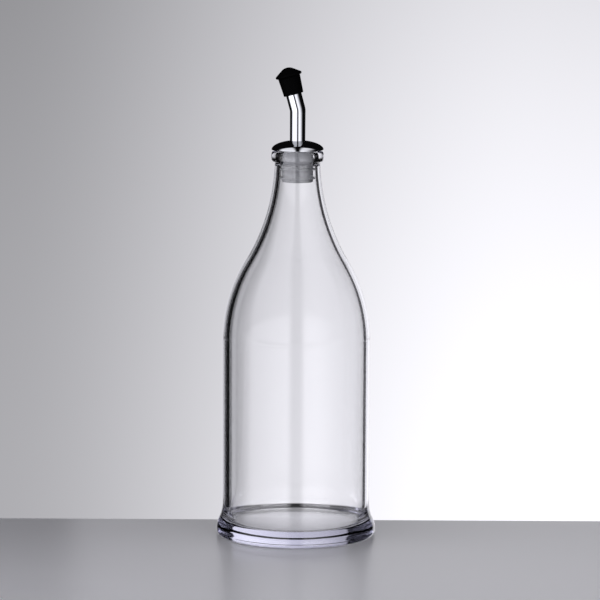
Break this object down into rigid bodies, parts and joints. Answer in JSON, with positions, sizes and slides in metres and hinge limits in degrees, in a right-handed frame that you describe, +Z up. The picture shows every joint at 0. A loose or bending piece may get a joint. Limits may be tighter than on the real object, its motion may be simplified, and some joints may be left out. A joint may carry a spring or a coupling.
{
  "type": "oil cruet",
  "caption": "Empty clear bottle with a sloping shoulder and a thick flared foot, closed by a stopper with a steel collar, a bent pouring tube and a rubber cap.",
  "frame": {"origin": "middle of the foot, on the surface that the bottle stands on", "axes": "+Z up the bottle's axis, -X the way the pouring tube leans, XZ the plane of symmetry"},
  "size_m": [0.092, 0.092, 0.2699],
  "materials": {
    "clear_bottle": "clear, polished, faintly violet where it is thick",
    "grey_stopper": "milky grey plastic",
    "steel_collar": "mirror polished",
    "steel_spout": "polished drawn tube",
    "black_rubber": "matt black"
  },
  "bodies": {
    "root": {"bottle": "clear_bottle", "stopper": "grey_stopper", "collar": "steel_collar", "spout": "steel_spout", "cap": "black_rubber"}
  },
  "joints": []
}
